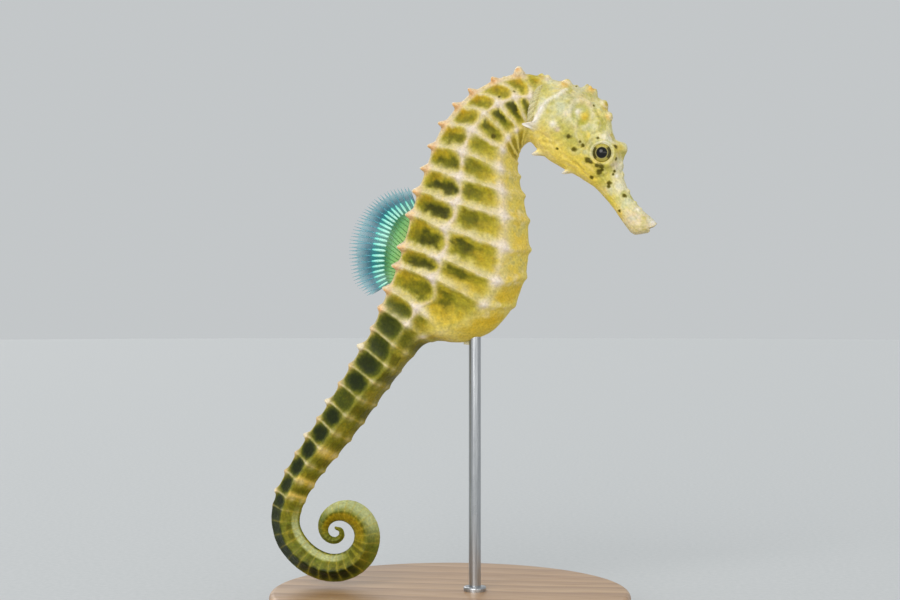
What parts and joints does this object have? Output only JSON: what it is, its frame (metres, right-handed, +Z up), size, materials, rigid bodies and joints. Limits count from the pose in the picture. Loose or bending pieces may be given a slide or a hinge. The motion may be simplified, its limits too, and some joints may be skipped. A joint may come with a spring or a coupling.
{
  "type": "seahorse",
  "caption": "Life-size still model of a seahorse with ringed body, bent head, back fin and curled tail, held upright on a round stand by one rod.",
  "frame": {"origin": "middle of the underside of the stand's round base", "axes": "+Z up, +X the way the animal faces, its right side towards -Y"},
  "size_m": [0.0785, 0.072, 0.1101],
  "materials": {
    "face_skin": "satin painted cast, pale cream yellow, of head, snout, crown and gill covers",
    "plate_skin": "satin painted cast, olive plates with cream ridges, of neck and trunk",
    "tail_skin": "satin painted cast, olive with dark squares, of the tail",
    "fin": "thin clear film with pale rays",
    "eye": "glossy glass-like eye, black pupil in an olive and pale ring",
    "stand_base": "dark stained wood, satin",
    "stand_rod": "brushed steel rod"
  },
  "bodies": {
    "root": {"snout": "face_skin", "head": "face_skin", "coronet": "face_skin", "eye_right": "eye", "eye_left": "eye", "gill_cover_right": "face_skin", "gill_cover_left": "face_skin", "pectoral_fin_right": "fin", "pectoral_fin_left": "fin", "neck": "plate_skin", "chest": "plate_skin", "belly": "plate_skin", "dorsal_fin": "fin", "anal_fin": "fin", "tail_base": "tail_skin", "tail_middle": "tail_skin", "tail_curl_outer": "tail_skin", "tail_curl_front": "tail_skin", "tail_curl_top": "tail_skin", "tail_tip": "tail_skin", "stand_base": "stand_base", "stand_rod": "stand_rod"}
  },
  "joints": []
}
